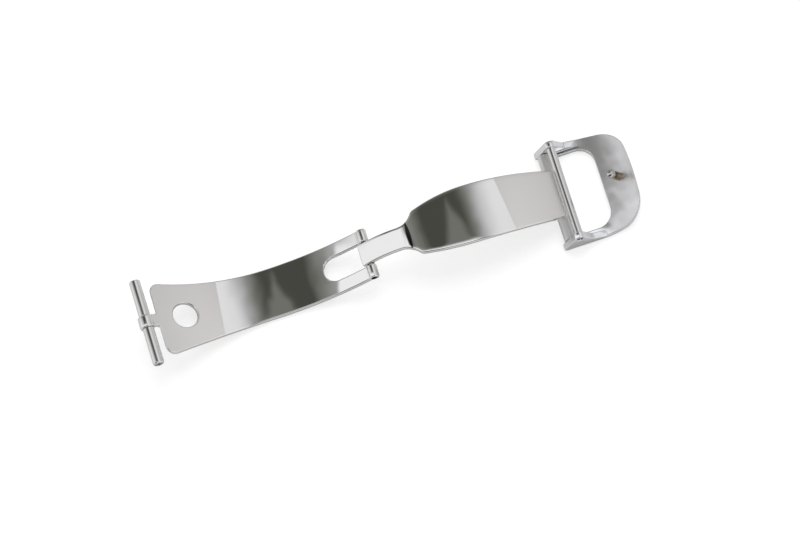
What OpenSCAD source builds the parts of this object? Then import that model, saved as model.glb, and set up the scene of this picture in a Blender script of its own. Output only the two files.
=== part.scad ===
// Single-fold deployant clasp for a strap, lying open with its visible side up.
// Millimetres. X runs along the clasp towards the buckle, Y across it, Z up.
// The origin is below the middle of the clasp, on the surface that it lies on.
// The blades are drawn in their own frame, whose origin is the axis of the strap end bar.
// They are then tilted until the outer blade's belly and the flat buckle frame share one surface.

/* [Blades] */
// Thickness of both blades
blade_t = 1.0; // [0.8:0.05:1.2]
// Radius of the outer blade's visible hollow face
outer_bow_r = 38.5; // [37.5:0.1:39.5]
// Distance along X from the strap end bar to the lowest point of that face
outer_low_x = 17.5; // [17:0.1:18]
// Depth of that lowest point below the axis of the strap end bar
outer_dip = 3.0; // [2.8:0.05:3.2]
// Half width of the outer blade's strip
strip_half_w = 4.55; // [4.3:0.05:4.9]
// Distance along X from the strap end bar to where the strip starts to widen into the pad
strip_start_x = 22; // [20:0.5:24]
// Radius of the widening sides of the pad
pad_side_r = 85; // [80:1:100]
// Distance along X from the strap end bar to the edge of the pad
pad_edge_x = 2.0; // [1.9:0.05:2.3]
// Corner radius of the pad
pad_corner_r = 1.5; // [1:0.1:2]
// Distance along X from the strap end bar to the centre of the strap hole
hole_x = 6.95; // [6.5:0.05:7.5]
// Radius of the strap hole
hole_r = 2.25; // [2:0.05:2.4]

/* [Fork and tongue hinge] */
// Distance along X from the strap end bar to the hinge axis
hinge_x = 39.7; // [39.2:0.1:40.2]
// Width of the tongue
tongue_w = 4.0; // [3.8:0.05:4.2]
// Gap between the tongue and each arm of the fork
fork_gap = 0.15; // [0.1:0.01:0.2]
// Distance along X from the closed end of the fork's slot to the hinge axis
slot_reach = 7.8; // [7.6:0.1:8.4]
// Radius of the fork's two knuckles
fork_knuckle_r = 0.875; // [0.8:0.025:0.95]
// Radius of the tongue's knuckle
tongue_knuckle_r = 0.8; // [0.75:0.025:0.9]
// Depth of the tongue's knuckle below its face
knuckle_cover = 0.05; // [0.03:0.01:0.08]
// Radius of the hinge pin
hinge_pin_r = 0.4; // [0.35:0.01:0.45]
// Slope of the tongue's face over the hinge axis, in degrees
tongue_slope = 40; // [39:0.5:41]
// Radius of the tongue's face
tongue_bow_r = 12.5; // [12.3:0.05:12.7]
// Distance along X from the hinge axis back to the tongue's free edge
tongue_tail = 1.45; // [1.2:0.05:1.6]

/* [Inner blade] */
// Radius of the inner blade's visible domed face
inner_bow_r = 34; // [33.7:0.1:34.3]
// Distance along X from the hinge axis to the top of the dome
dome_run = 20.8; // [20.6:0.1:21]
// Height of the top of the dome above the hinge axis
dome_rise = 6.4; // [6.3:0.05:6.5]
// Largest half width of the inner blade
body_half_w = 5.25; // [5:0.05:5.5]
// Distance along X from the hinge axis to the widest place
wide_run = 18.3; // [17.8:0.1:18.8]
// Radius of the sides between the shoulder and the widest place
shoulder_side_r = 35; // [32:1:40]
// Radius of the sides between the widest place and the end
end_side_r = 148; // [130:2:170]
// Distance along X from the hinge axis to where the tongue starts to flare
flare_run = 5.6; // [5.5:0.05:5.8]
// Radius of the hollow flare between tongue and shoulder
flare_r = 3.5; // [3.3:0.05:3.7]
// Radius of the shoulder's corner
shoulder_r = 1.2; // [1:0.05:1.4]

/* [Strap end bar] */
// Length of the strap end bar
end_bar_len = 15.8; // [15:0.1:16]
// Radius of its two sleeves
sleeve_r = 1.0; // [0.9:0.05:1.1]
// Radius of the screw that joins the sleeves
core_r = 0.6; // [0.5:0.02:0.65]
// Radius of the screw's slotted head
core_head_r = 0.72; // [0.7:0.01:0.76]
// Thickness of that head
core_head_t = 0.6; // [0.4:0.05:0.8]
// Depth of the head below the sleeve's end
core_head_sink = 0.3; // [0.2:0.05:0.4]
// Length of the closed end of the rear sleeve
sleeve_blind = 1.4; // [1:0.1:2]
// Radius of the knuckle on the pad
pad_knuckle_r = 1.35; // [1.25:0.05:1.45]
// Length of the knuckle and width of its neck
pad_knuckle_w = 2.2; // [2:0.05:2.5]
// Chamfer on the outer ends of the sleeves
sleeve_chamfer = 0.2; // [0.1:0.05:0.25]

/* [Buckle frame] */
// Distance between the inner faces of the cheeks
cheek_inner_w = 16.3; // [16.2:0.05:16.8]
// Thickness of each cheek
cheek_t = 1.15; // [1.05:0.05:1.3]
// Thickness of the arms and of the dished plate
plate_t = 1.0; // [0.9:0.05:1.1]
// Width of the arms
arm_w = 1.85; // [1.7:0.05:2]
// Height of the pivot axis above the underside of the frame
pivot_h = 1.4; // [1.3:0.05:1.6]
// Distance from the pivot axis to the tip of the cheeks
nose_run = 1.5; // [1.45:0.05:1.7]
// Depth of that tip below the pivot axis
nose_drop = 0.95; // [0.8:0.05:1]
// Length of the slanted edge from that tip to the frame's underside, along X
nose_cut = 0.4; // [0.3:0.05:0.6]
// Distance from the pivot axis to the knee in the cheeks' upper edge
knee_run = 4.0; // [3.8:0.1:4.3]
// Height of that knee above the pivot axis
knee_z = 0.35; // [0.2:0.05:0.5]
// Distance from the pivot axis to where the cheek runs out on the arm
cheek_run = 6.5; // [6.2:0.1:6.8]
// Distance from the pivot axis to where the arms reach their full width
arm_start = 1.9; // [1.8:0.05:2]
// Distance from the pivot axis to where the plate starts to curve up
dish_start = 7.24; // [7:0.05:7.4]
// Radius of the dished inner face
dish_r = 10.2; // [10:0.1:10.6]
// Distance from the pivot axis to the far end of the frame
frame_reach = 14.05; // [13.9:0.05:14.2]
// Radius of the far end, seen from above
far_end_r = 50; // [45:1:60]
// Radius of the frame's far corners
far_corner_r = 5; // [4.8:0.1:5.2]
// Radius of the sides before those corners
far_side_r = 24; // [23:0.5:26]
// Distance from the pivot axis to where those sides start
far_side_start = 5.0; // [4.8:0.1:5.2]
// Distance from the pivot axis to the far edge of the strap opening
opening_reach = 8.3; // [8.2:0.05:8.6]
// Radius of the opening's corners
opening_corner_r = 3; // [2.8:0.05:3]

/* [Pivot and strap bar] */
// Radius of the pivot barrel under the inner blade
barrel_r = 1.0; // [0.95:0.01:1.05]
// Radius of the pivot pin inside it
pivot_pin_r = 0.4; // [0.35:0.01:0.45]
// Angle along the inner blade from the top of the dome to the pivot barrel, in degrees
pivot_angle = 24.36; // [24.2:0.02:24.5]
// Length of the inner blade past the pivot axis
blade_past = 0.55; // [0.5:0.01:0.58]
// Depth of the pivot pin in the front cheek
pin_seat = 0.75; // [0.6:0.05:0.85]
// Distance along X from the pivot axis to the strap bar
strap_bar_x = 1.71; // [1.7:0.01:1.78]
// Height of the strap bar above the pivot axis
strap_bar_z = 2.19; // [2.18:0.01:2.3]
// Radius of the strap bar
strap_bar_r = 0.75; // [0.7:0.01:0.75]
// Radius of the cheeks round the strap bar
boss_r = 1.0; // [0.95:0.05:1.1]
// Radius of the shanks of the screws that hold the strap bar
bar_screw_r = 0.38; // [0.3:0.01:0.42]
// Length of those shanks inside the bar
bar_screw_grip = 1.5; // [1:0.1:2]
// Radius of their heads
bar_head_r = 0.62; // [0.55:0.01:0.68]
// Thickness of their heads
bar_head_t = 0.35; // [0.3:0.05:0.45]
// Depth of their heads below the cheek's outer face
bar_head_sink = 0.15; // [0.1:0.05:0.2]
// Width of the screwdriver slots
slot_w = 0.2; // [0.15:0.01:0.25]
// Depth of the screwdriver slots
slot_depth = 0.2; // [0.15:0.01:0.25]

/* [Strap stud] */
// Distance from the pivot axis to the foot of the stud
stud_run = 11.31; // [11.1:0.05:11.5]
// Radius of the stud's collar
stud_collar_r = 0.75; // [0.65:0.05:0.85]
// Height of the collar
stud_collar_h = 1.3; // [1.2:0.05:1.5]
// Radius of its waist
stud_waist_r = 0.45; // [0.4:0.05:0.5]
// Radius of its ball head
stud_ball_r = 0.85; // [0.8:0.05:0.95]
// Total height of the stud above the plate
stud_h = 3.75; // [3.6:0.05:4]
// Radius of its shank through the plate
stud_shank_r = 0.5; // [0.45:0.05:0.55]

/* [Fits] */
// Radial clearance of a turning pin
run_gap = 0.04; // [0.03:0.005:0.06]
// Radial clearance of a pin or screw that is held fast
held_gap = 0.01; // [0.005:0.005:0.015]
// End clearance between pieces that turn on each other
side_gap = 0.05; // [0.03:0.01:0.08]

/* [Hidden] */
$fn = 96;
past = 1;
far = 60;

// Direction of unit length
function unit(v) = v / norm(v);
// Where the circles round a and b meet, on the left of the way from a to b
function meet(a, ra, b, rb) =
  let (d = norm(b - a), u = (b - a) / d, s = (ra * ra - rb * rb + d * d) / (2 * d))
  a + s * u + sqrt(ra * ra - s * s) * [-u[1], u[0]];
// Direction from each centre to its tangent point, for the line on the left of both circles
function tangent(a, ra, b, rb) =
  let (d = b - a, t = atan2(d[1], d[0]) + acos((ra - rb) / norm(d))) [cos(t), sin(t)];

// Points along an arc from one direction to another, without its last point
function arc(c, r, from, to, steps = 16) =
  let (a = atan2(from[1], from[0]), b = atan2(to[1], to[0]))
  [for (i = [0:steps - 1]) c + r * [cos(a + (b - a) * i / steps), sin(a + (b - a) * i / steps)]];
// Outline that is closed by its own mirror copy, from the points on its +Y side
function closed(side) =
  concat(side, [for (i = [len(side) - 1:-1:0]) [side[i][0], -side[i][1]]]);

// Outer blade, as a side view in the blades' frame
outer_c = [outer_low_x, outer_bow_r - outer_dip];
outer_under_r = outer_bow_r + blade_t;
outer_mid_r = outer_bow_r + blade_t / 2;
hinge = [hinge_x, outer_c[1] - sqrt(pow(outer_mid_r, 2) - pow(hinge_x - outer_c[0], 2))];
pad_out = unit([pad_edge_x - outer_c[0],
                -sqrt(pow(outer_bow_r, 2) - pow(pad_edge_x - outer_c[0], 2))]);
pad_face = outer_c + outer_bow_r * pad_out;
pad_under = outer_c + outer_under_r * pad_out;
pad_along = [-pad_out[1], pad_out[0]];
hole_tilt = asin((hole_x - outer_c[0]) / outer_bow_r);

// Outer blade, seen from above
pad_side_c = [strip_start_x, strip_half_w + pad_side_r];
pad_corner_c = [pad_edge_x + pad_corner_r, pad_side_c[1] - sqrt(pow(pad_side_r + pad_corner_r, 2)
                - pow(strip_start_x - pad_edge_x - pad_corner_r, 2))];
pad_turn_x = pad_corner_c[0] + pad_corner_r * unit(pad_side_c - pad_corner_c)[0];
pad_half_w = pad_corner_c[1] + pad_corner_r;
fork_w = tongue_w + 2 * fork_gap;

// Inner blade, as a side view in the blades' frame
inner_c = hinge + [dome_run, dome_rise - inner_bow_r];
tongue_c = hinge + (tongue_bow_r - tongue_knuckle_r - knuckle_cover)
           * [sin(tongue_slope), -cos(tongue_slope)];
crease_face = meet(tongue_c, tongue_bow_r, inner_c, inner_bow_r);
crease_under = meet(tongue_c, tongue_bow_r - blade_t, inner_c, inner_bow_r - blade_t);
tail_out = unit([hinge_x - tongue_tail - tongue_c[0], sqrt(pow(tongue_bow_r, 2)
                 - pow(hinge_x - tongue_tail - tongue_c[0], 2))]);
pivot = inner_c + (inner_bow_r - blade_t - held_gap - barrel_r)
        * [sin(pivot_angle), cos(pivot_angle)];
inner_end_x = pivot[0] + blade_past;

// Inner blade, seen from above
wide_x = hinge_x + wide_run;
flare_x = hinge_x + flare_run;
flare_c = [flare_x, tongue_w / 2 + flare_r];
shoulder_side_c = [wide_x, body_half_w - shoulder_side_r];
end_side_c = [wide_x, body_half_w - end_side_r];
shoulder_c = meet(flare_c, flare_r + shoulder_r, shoulder_side_c, shoulder_side_r - shoulder_r);
shoulder_in = flare_c + flare_r * unit(shoulder_c - flare_c);
shoulder_out = shoulder_side_c + shoulder_side_r * unit(shoulder_c - shoulder_side_c);
end_tip = [inner_end_x + past, end_side_c[1] + sqrt(pow(end_side_r, 2)
           - pow(inner_end_x + past - wide_x, 2))];
inner_outline = closed(concat(
  arc(end_side_c, end_side_r, end_tip - end_side_c, [0, 1]),
  arc(shoulder_side_c, shoulder_side_r, [0, 1], shoulder_out - shoulder_side_c),
  arc(shoulder_c, shoulder_r, shoulder_out - shoulder_c, shoulder_in - shoulder_c),
  arc(flare_c, flare_r, shoulder_in - flare_c, [0, -1]),
  [[flare_x, tongue_w / 2], [hinge_x - tongue_tail - past, tongue_w / 2]]));

// Tilt that lays the outer blade's belly and the frame's underside on one surface
lever = pivot - outer_c;
rest_tilt = asin((outer_under_r - pivot_h) / norm(lever)) - atan2(-lever[1], lever[0]);
rise = outer_under_r + outer_c[0] * sin(rest_tilt) - outer_c[1] * cos(rest_tilt);
pivot_x = pivot[0] * cos(rest_tilt) + pivot[1] * sin(rest_tilt);
mid_x = (pivot_x + frame_reach - pad_knuckle_r) / 2;

// Strap end bar, along Y
end_bar_half = end_bar_len / 2;
sleeve_in = pad_knuckle_w / 2 + side_gap;
core_head_y = end_bar_half - core_head_sink;
core_end = end_bar_half - sleeve_blind;

// Buckle frame, from the pivot axis
cheek_in = cheek_inner_w / 2;
cheek_out = cheek_in + cheek_t;
plate_top = plate_t - pivot_h;
bar_pos = [strap_bar_x, strap_bar_z];
nose_tip = [-nose_run, -nose_drop];
nose_foot = nose_tip + 2 * [nose_cut, nose_drop - pivot_h];
knee = [knee_run, knee_z];
cheek_tail = knee + 1.2 * ([cheek_run, plate_top] - knee);
nose_side = tangent(nose_tip, 0, bar_pos, boss_r);
back_side = tangent(bar_pos, boss_r, knee, 0);
dish_c = [dish_start, dish_r + plate_top];
far_side_c = [far_side_start, cheek_out - far_side_r];
far_end_c = [frame_reach - far_end_r, 0];
far_corner_c = meet(far_end_c, far_end_r - far_corner_r, far_side_c, far_side_r - far_corner_r);
far_side_out = unit(far_corner_c - far_side_c);
far_end_out = unit(far_corner_c - far_end_c);
far_side_tip = far_side_c + far_side_r * far_side_out;
far_end_tip = far_end_c + far_end_r * far_end_out;
arm_in = cheek_out - arm_w;
corner_c = [opening_reach - opening_corner_r, arm_in - opening_corner_r];
frame_outline = closed(concat(
  arc(far_end_c, far_end_r, [far_end_out[0], far_end_out[1] / 8], far_end_out, 7),
  arc(far_corner_c, far_corner_r, far_end_out, far_side_out),
  arc(far_side_c, far_side_r, far_side_out, [0, 1]),
  [[far_side_start, cheek_out], [-nose_run - past, cheek_out]]));
opening_outline = closed(concat(
  arc(corner_c, opening_corner_r, [1, 0], [0, 1]),
  [[corner_c[0], arm_in], [arm_start - past, arm_in]]));
stud_foot_z = dish_c[1] - sqrt(pow(dish_r, 2) - pow(stud_run - dish_c[0], 2));
stud_lean = asin((stud_run - dish_c[0]) / dish_r);

// Puts a piece that is drawn in the blades' frame where it rests
module on_blades() {
  translate([-mid_x, 0, rise]) rotate([0, rest_tilt, 0]) children();
}

// Puts a piece that is drawn from the pivot axis where it rests
module on_pivot() {
  translate([pivot_x - mid_x, 0, pivot_h]) children();
}

// Extrudes a side view across the clasp
module across(w) {
  rotate([90, 0, 0]) linear_extrude(height = w, center = true) children();
}

// Round rod along Y between two values of Y, at a place in the side view
module rod(at, r, y0, y1) {
  translate([at[0], y1, at[1]]) rotate([90, 0, 0]) cylinder(r = r, h = y1 - y0);
}

// Round disc with its axis along Y
module wheel(c, r, w) {
  translate([c[0], w / 2, c[1]]) rotate([90, 0, 0]) cylinder(r = r, h = w, $fn = 180);
}

// Upright column, far taller than the clasp, over a shape seen from above
module column() {
  translate([0, 0, -far / 2]) linear_extrude(height = far) children();
}

// Side view of a strip of even thickness between two circles round one centre
module band(c, r_out, r_in) {
  difference() {
    translate(c) circle(r = r_out);
    translate(c) circle(r = r_in);
  }
}

// Wedge with its tip at c, between two directions
module wedge(c, reach, from, to) {
  polygon([c, c + reach * unit(from), c + reach * unit(unit(from) + unit(to)), c + reach * unit(to)]);
}

// Mirror copy across the middle of the clasp
module both_sides() {
  children();
  mirror([0, 1, 0]) children();
}

module outer_side_view() {
  intersection() {
    band(outer_c, outer_under_r, outer_bow_r);
    wedge(outer_c, 2 * outer_bow_r, pad_out, hinge - outer_c);
  }
  translate(hinge) circle(r = fork_knuckle_r);
}

module outer_plan() {
  translate([pad_edge_x, -pad_corner_c[1]])
    square([pad_turn_x - pad_edge_x, 2 * pad_corner_c[1]]);
  both_sides() translate(pad_corner_c) circle(r = pad_corner_r);
  difference() {
    translate([pad_turn_x, -pad_half_w]) square([strip_start_x - pad_turn_x, 2 * pad_half_w]);
    both_sides() translate(pad_side_c) circle(r = pad_side_r, $fn = 360);
  }
  translate([strip_start_x, -strip_half_w])
    square([hinge_x + fork_knuckle_r + past - strip_start_x, 2 * strip_half_w]);
}

// Slot of the fork, seen from above
module fork_slot() {
  translate([hinge_x - slot_reach + fork_w / 2, 0]) circle(d = fork_w);
  translate([hinge_x - slot_reach + fork_w / 2, -fork_w / 2])
    square([slot_reach + fork_knuckle_r + past, fork_w]);
}

// Outer blade: pad with the strap hole and a knuckle, bowed strip and fork
module blade_a() {
  color("silver") on_blades() difference() {
    union() {
      intersection() {
        across(2 * pad_half_w + past) outer_side_view();
        translate([0, 0, -far / 2]) linear_extrude(height = far) outer_plan();
      }
      rod([0, 0], pad_knuckle_r, -pad_knuckle_w / 2, pad_knuckle_w / 2);
      across(pad_knuckle_w) polygon([
        pad_face + pad_along * blade_t / 2,
        pad_face - pad_along * pad_face[0] / pad_along[0],
        pad_under - pad_along * pad_under[0] / pad_along[0],
        pad_under + pad_along * blade_t / 2]);
    }
    translate([0, 0, -far / 2]) linear_extrude(height = far) fork_slot();
    translate([outer_c[0], 0, outer_c[1]]) rotate([0, -hole_tilt, 0])
      translate([0, 0, -outer_under_r - past]) cylinder(r = hole_r, h = blade_t + 2 * past);
    rod([0, 0], core_r + run_gap, -pad_knuckle_w, pad_knuckle_w);
    rod(hinge, hinge_pin_r + held_gap, -strip_half_w - past, strip_half_w + past);
  }
}

// Discs that bound the inner blade's face, or its underside when inset by the thickness
module inner_discs(inset, w, crease, tail) {
  intersection() {
    wheel(tongue_c, tongue_bow_r - inset, w);
    across(w) wedge(tongue_c, 2 * tongue_bow_r, [1, 1], tail);
  }
  intersection() {
    wheel(inner_c, inner_bow_r - inset, w);
    across(w) wedge(inner_c, 2 * inner_bow_r, [1, 1], crease - inner_c);
  }
}

// Inner blade: tongue with its knuckle, crease and domed body
module blade_b() {
  color("gainsboro") on_blades() difference() {
    union() {
      difference() {
        intersection() {
          inner_discs(0, 2 * body_half_w + past, crease_face, tail_out);
          column() polygon(inner_outline);
          translate([inner_end_x - far, -far / 2, hinge[1] - 2 * tongue_knuckle_r]) cube(far);
        }
        inner_discs(blade_t, 2 * body_half_w + 2 * past, crease_under, [-1, 0]);
      }
      wheel(hinge, tongue_knuckle_r, tongue_w);
    }
    rod(hinge, hinge_pin_r + run_gap, -tongue_w, tongue_w);
  }
}

// Pin of the hinge between the blades, held in the fork
module hinge_pin() {
  color("darkgray") on_blades() rod(hinge, hinge_pin_r, -strip_half_w, strip_half_w);
}

// Slotted screw that runs through the pad's knuckle and both sleeves
module end_bar_screw() {
  color("dimgray") on_blades() difference() {
    union() {
      rod([0, 0], core_r, -core_head_y, core_end);
      rod([0, 0], core_head_r, -core_head_y, core_head_t - core_head_y);
    }
    translate([-slot_w / 2, -core_head_y - past, -sleeve_r])
      cube([slot_w, slot_depth + past, 2 * sleeve_r]);
  }
}

// Sleeve along Y from the knuckle outwards, chamfered at its outer end
module sleeve() {
  translate([0, sleeve_in, 0]) rotate([-90, 0, 0]) {
    cylinder(r = sleeve_r, h = end_bar_half - sleeve_in - sleeve_chamfer);
    translate([0, 0, end_bar_half - sleeve_in - sleeve_chamfer])
      cylinder(r1 = sleeve_r, r2 = sleeve_r - sleeve_chamfer, h = sleeve_chamfer);
  }
}

// Front half of the strap end bar, with the recess for the screw's head
module end_bar_sleeve_front() {
  color("silver") on_blades() difference() {
    mirror([0, 1, 0]) sleeve();
    rod([0, 0], core_r + held_gap, -end_bar_len, 0);
    rod([0, 0], core_head_r + held_gap, -end_bar_len, core_head_t + held_gap - core_head_y);
  }
}

// Rear half of the strap end bar, closed at its outer end
module end_bar_sleeve_rear() {
  color("silver") on_blades() difference() {
    sleeve();
    rod([0, 0], core_r + held_gap, 0, core_end + side_gap);
  }
}

// Barrel soldered across the underside of the inner blade's end
module pivot_barrel() {
  color("lightgray") on_pivot() difference() {
    rod([0, 0], barrel_r, side_gap - cheek_in, cheek_in - side_gap);
    rod([0, 0], pivot_pin_r + run_gap, -cheek_out, cheek_out);
  }
}

// Pin inside the barrel, blind in the front cheek and flush with the rear one
module pivot_pin() {
  color("darkgray") on_pivot() rod([0, 0], pivot_pin_r, -cheek_in - pin_seat, cheek_out);
}

// Both cheeks: slanted front edge, round boss at the strap bar, knee and tail
module cheeks() {
  for (side = [-1, 1])
    translate([0, side * (cheek_in + (cheek_t + past) / 2), 0]) across(cheek_t + past)
      polygon(concat([nose_foot, [cheek_tail[0], nose_foot[1]], cheek_tail, knee],
                     arc(bar_pos, boss_r, back_side, nose_side),
                     [bar_pos + boss_r * nose_side, nose_tip]));
}

// Flat arms and dished plate, before their outline is cut
module plate() {
  translate([arm_start, -cheek_out - past, -pivot_h - past])
    cube([dish_start - arm_start, 2 * (cheek_out + past), plate_t + past]);
  intersection() {
    difference() {
      wheel(dish_c, dish_r + plate_t, 2 * (cheek_out + past));
      wheel(dish_c, dish_r, 2 * (cheek_out + 2 * past));
    }
    translate([dish_start, -cheek_out - past, -far])
      cube([frame_reach, 2 * (cheek_out + past), far + dish_c[1]]);
  }
}

// Buckle frame: two cheeks, two arms and the dished plate in one casting
module buckle_frame() {
  color("silver") on_pivot() difference() {
    intersection() {
      union() {
        difference() {
          plate();
          column() polygon(opening_outline);
        }
        cheeks();
      }
      column() polygon(frame_outline);
    }
    translate([-far / 2, -far / 2, -pivot_h - far]) cube(far);
    rod([0, 0], pivot_pin_r + held_gap, -cheek_in - pin_seat - held_gap, cheek_out + past);
    both_sides() {
      rod(bar_pos, bar_screw_r + held_gap, cheek_in - past, cheek_out + past);
      rod(bar_pos, bar_head_r + held_gap, cheek_out - bar_head_sink - bar_head_t - held_gap,
          cheek_out + past);
    }
    translate([stud_run, 0, stud_foot_z]) rotate([0, -stud_lean, 0])
      translate([0, 0, -plate_t - past]) cylinder(r = stud_shank_r + held_gap, h = plate_t + 2 * past);
  }
}

// Polished bar that the strap is folded round
module strap_bar() {
  color("gainsboro") on_pivot() difference() {
    rod(bar_pos, strap_bar_r, held_gap - cheek_in, cheek_in - held_gap);
    both_sides() rod(bar_pos, bar_screw_r + held_gap, cheek_in - bar_screw_grip - held_gap,
                     cheek_out);
  }
}

// Screw that holds the rear end of the strap bar
module bar_screw() {
  difference() {
    union() {
      rod(bar_pos, bar_screw_r, cheek_in - bar_screw_grip, cheek_out - bar_head_sink - bar_head_t);
      rod(bar_pos, bar_head_r, cheek_out - bar_head_sink - bar_head_t, cheek_out - bar_head_sink);
    }
    translate([bar_pos[0] - slot_w / 2, cheek_out - bar_head_sink - slot_depth,
               bar_pos[1] - bar_head_r - past])
      cube([slot_w, slot_depth + past, 2 * (bar_head_r + past)]);
  }
}

module bar_screw_front() {
  color("dimgray") on_pivot() mirror([0, 1, 0]) bar_screw();
}

module bar_screw_rear() {
  color("dimgray") on_pivot() bar_screw();
}

// Stud square to the dished plate: shank, collar, waist and ball
module strap_stud() {
  color("tan") on_pivot() translate([stud_run, 0, stud_foot_z]) rotate([0, -stud_lean, 0]) {
    translate([0, 0, -plate_t]) cylinder(r = stud_shank_r, h = plate_t + stud_collar_h / 2);
    translate([0, 0, held_gap + pow(stud_collar_r, 2) / (2 * dish_r)])
      cylinder(r = stud_collar_r, h = stud_collar_h);
    cylinder(r = stud_waist_r, h = stud_h - stud_ball_r);
    translate([0, 0, stud_h - stud_ball_r]) sphere(r = stud_ball_r);
  }
}

blade_a();
blade_b();
hinge_pin();
end_bar_screw();
end_bar_sleeve_front();
end_bar_sleeve_rear();
pivot_barrel();
pivot_pin();
buckle_frame();
strap_bar();
bar_screw_front();
bar_screw_rear();
strap_stud();
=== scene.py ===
"""Open deployant clasp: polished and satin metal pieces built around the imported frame.

Lengths are in millimetres until a mesh is made, and in metres from there on. Side views
hold X and Z. The blades are measured in their own frame, whose origin is the axis of the
strap end bar, and are then tilted onto the surface that the clasp lies on.
"""

from __future__ import annotations

import logging
import math
from dataclasses import dataclass
from enum import Enum
from typing import Any

import bmesh
import bpy
import numpy as np
from mathutils import Matrix

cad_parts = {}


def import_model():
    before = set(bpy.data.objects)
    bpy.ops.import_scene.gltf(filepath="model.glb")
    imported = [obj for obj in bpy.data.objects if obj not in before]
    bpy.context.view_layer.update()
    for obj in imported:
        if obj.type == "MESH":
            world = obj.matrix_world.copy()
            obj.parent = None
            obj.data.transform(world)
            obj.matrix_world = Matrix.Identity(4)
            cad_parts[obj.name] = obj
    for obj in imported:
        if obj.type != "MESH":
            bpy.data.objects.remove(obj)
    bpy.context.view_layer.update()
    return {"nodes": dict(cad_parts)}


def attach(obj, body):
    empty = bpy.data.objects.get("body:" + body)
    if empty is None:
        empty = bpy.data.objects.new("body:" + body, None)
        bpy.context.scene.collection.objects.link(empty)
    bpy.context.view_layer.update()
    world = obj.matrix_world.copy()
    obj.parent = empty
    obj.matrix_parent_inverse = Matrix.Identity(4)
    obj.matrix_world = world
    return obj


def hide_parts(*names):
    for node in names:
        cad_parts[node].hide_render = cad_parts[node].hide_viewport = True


LOG = logging.getLogger("clasp")
MM = 0.001
Triple = tuple[float, float, float]
Colour = Triple
Points = np.ndarray


# ---------------------------------------------------------------- places and outlines


@dataclass(frozen=True)
class Lie:
    """How the clasp lies: the tilt of the blades' frame, where its origin goes, and the pivot."""

    tilt_deg: float = 8.0594232
    middle_x: float = 43.1823913
    rise: float = 6.8041277
    pivot: tuple[float, float] = (30.4823913, 1.4)

    def turn(self) -> Points:
        """Returns the matrix that turns directions of the blades' frame into the row frame."""
        c, s = math.cos(math.radians(self.tilt_deg)), math.sin(math.radians(self.tilt_deg))
        return np.array([[c, 0.0, s], [0.0, 1.0, 0.0], [-s, 0.0, c]])

    def place(self, points: Points) -> Points:
        """Turns and moves points of the blades' frame into the row frame."""
        return points @ self.turn().T + np.array([-self.middle_x, 0.0, self.rise])

    def side(self, x: float, z: float) -> tuple[float, float]:
        """Side-view place, in the row frame, of a point of the blades' frame."""
        moved = self.place(np.array([x, 0.0, z]))
        return float(moved[0]), float(moved[2])


@dataclass(frozen=True)
class Arc:
    """Circle in a side view or in a plan, with its centre and radius."""

    x: float
    y: float
    r: float

    def high(self, x: Points) -> Points:
        """Upper half of the circle: the centre's height plus the root of r^2 - dx^2."""
        return self.y + np.sqrt(np.maximum(self.r**2 - (x - self.x) ** 2, 0.0))

    def low(self, x: Points) -> Points:
        """Lower half of the circle, the same formula with the root taken away."""
        return 2.0 * self.y - self.high(x)

    def meets(self, other: Arc) -> Points:
        """Crossing of two circles, on the left of the way from this centre to the other."""
        a, b = np.array([self.x, self.y]), np.array([other.x, other.y])
        gap = float(np.linalg.norm(b - a))
        u = (b - a) / gap
        along = (self.r**2 - other.r**2 + gap**2) / (2.0 * gap)
        return a + along * u + math.sqrt(self.r**2 - along**2) * np.array([-u[1], u[0]])

    def angle(self, point: Points) -> float:
        """Angle of a point round the centre, from straight up towards +X, in radians."""
        return math.atan2(point[0] - self.x, point[1] - self.y)

    def points(self, t: Points | float, r: Points | float | None = None) -> Points:
        """Points c + r (sin t, cos t) round the centre c.

        Args:
            t: Angles from straight up, in radians.
            r: Distances from the centre, or the circle's own radius if left out.

        Returns:
            One point for each angle.
        """
        reach = self.r if r is None else r
        return np.stack([self.x + reach * np.sin(t), self.y + reach * np.cos(t)], -1)


def on_middle(point: Points | tuple[float, float]) -> Triple:
    """Place of a side-view point on the middle plane, Y = 0."""
    return float(point[0]), 0.0, float(point[1])


LIE = Lie()
WALL = 1.0  # thickness of both blades and of the buckle's dish
OUTER_FACE = Arc(17.5, 35.5, 38.5)

# The hinge lies on the circle halfway through the outer blade's wall.
HINGE_X, HINGE_R = 39.7, OUTER_FACE.r + WALL / 2.0
HINGE = (HINGE_X, OUTER_FACE.y - math.sqrt(HINGE_R**2 - (HINGE_X - OUTER_FACE.x) ** 2))

# The tongue's circle is centred below the hinge, at a reach and a turn from straight down.
TONGUE_REACH, TONGUE_TURN, TONGUE_R = 11.65, math.radians(40.0), 12.5
TONGUE_FACE = Arc(
    HINGE[0] + TONGUE_REACH * math.sin(TONGUE_TURN),
    HINGE[1] - TONGUE_REACH * math.cos(TONGUE_TURN),
    TONGUE_R,
)

# The dome's highest point is given from the hinge.
DOME_TOP, DOME_R = (20.8, 6.4), 34.0
DOME_FACE = Arc(HINGE[0] + DOME_TOP[0], HINGE[1] + DOME_TOP[1] - DOME_R, DOME_R)
CREASE = TONGUE_FACE.meets(DOME_FACE)

# The dish of the buckle lies in the row frame. The stud stands square to it, so that its axis
# goes through the dish's own, and is placed by its distance in X from the dish's lowest line.
DISH_OUT, DISH_R, STUD_OUT = 7.24, 10.2, 4.07
DISH_FACE = Arc(LIE.pivot[0] + DISH_OUT, DISH_R + WALL, DISH_R)
STUD_LEAN = math.asin(STUD_OUT / DISH_R)
BALL_AT = 2.9  # from the dish's face to the middle of the ball
STUD_FOOT = DISH_FACE.points(math.pi - STUD_LEAN)
STUD_BALL = DISH_FACE.points(math.pi - STUD_LEAN, DISH_R - BALL_AT)


# ---------------------------------------------------------------- meshes


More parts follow.
